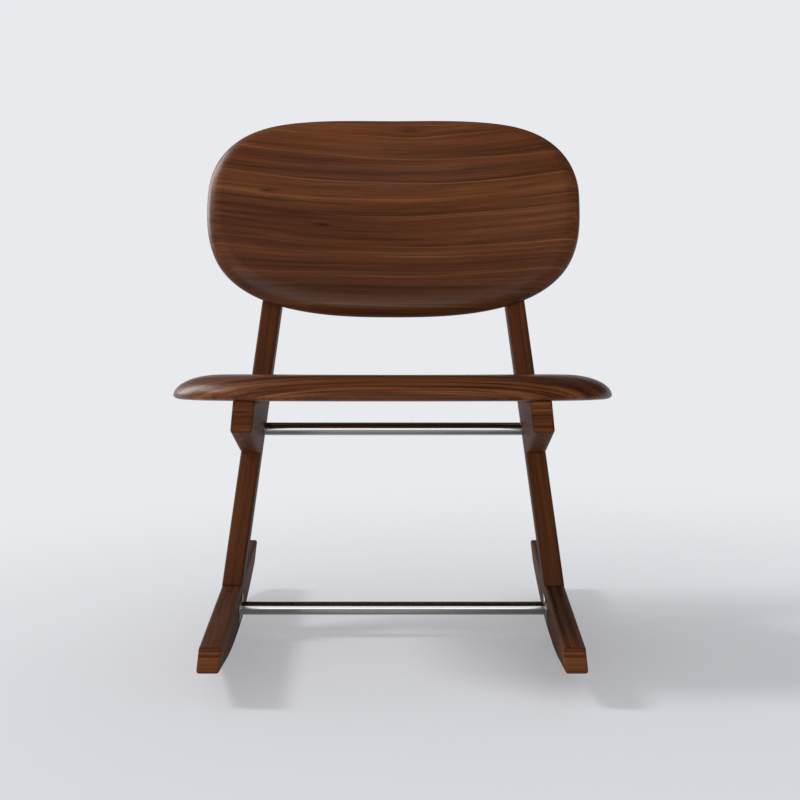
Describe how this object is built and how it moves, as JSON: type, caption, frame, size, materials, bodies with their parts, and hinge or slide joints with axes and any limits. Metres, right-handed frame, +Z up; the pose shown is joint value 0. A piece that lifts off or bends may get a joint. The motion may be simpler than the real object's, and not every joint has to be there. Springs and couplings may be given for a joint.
{
  "type": "rocking chair",
  "caption": "Low armless rocking chair in walnut with a pebble-shaped seat and backrest on splayed side frames joined by steel tube stretchers.",
  "frame": {"origin": "on the floor, below the middle of the chair's overall box", "axes": "+Z up, the sitter faces -Y, +X to the right of a viewer who faces the chair's front"},
  "size_m": [0.6332, 0.6817, 0.7716],
  "materials": {
    "walnut": "oiled satin",
    "stainless": "polished satin",
    "bolt_steel": "zinc plated",
    "brass": "turned",
    "beech": "raw"
  },
  "bodies": {
    "root": {"seat": "walnut", "backrest": "walnut", "stretcher_upper": "stainless", "stretcher_lower": "stainless", "rocker_left": "walnut", "rocker_right": "walnut", "post_left": "walnut", "post_right": "walnut", "rail_left": "walnut", "rail_right": "walnut", "stretcher_plugs_left": "walnut", "stretcher_plugs_right": "walnut", "backrest_plugs_left": "walnut", "backrest_plugs_right": "walnut", "seat_screw_plugs_left": "walnut", "seat_screw_plugs_right": "walnut", "foot_tenon_left": "beech", "foot_tenon_right": "beech", "rail_tenons_left": "beech", "rail_tenons_right": "beech", "collar_left": "stainless", "collar_right": "stainless", "flange_left": "stainless", "flange_right": "stainless", "stretcher_bolts_left": "bolt_steel", "stretcher_bolts_right": "bolt_steel", "stretcher_washers_left": "bolt_steel", "stretcher_washers_right": "bolt_steel", "seat_screws_left": "bolt_steel", "seat_screws_right": "bolt_steel", "backrest_bolts_left": "bolt_steel", "backrest_bolts_right": "bolt_steel", "backrest_inserts_left": "brass", "backrest_inserts_right": "brass"}
  },
  "joints": []
}
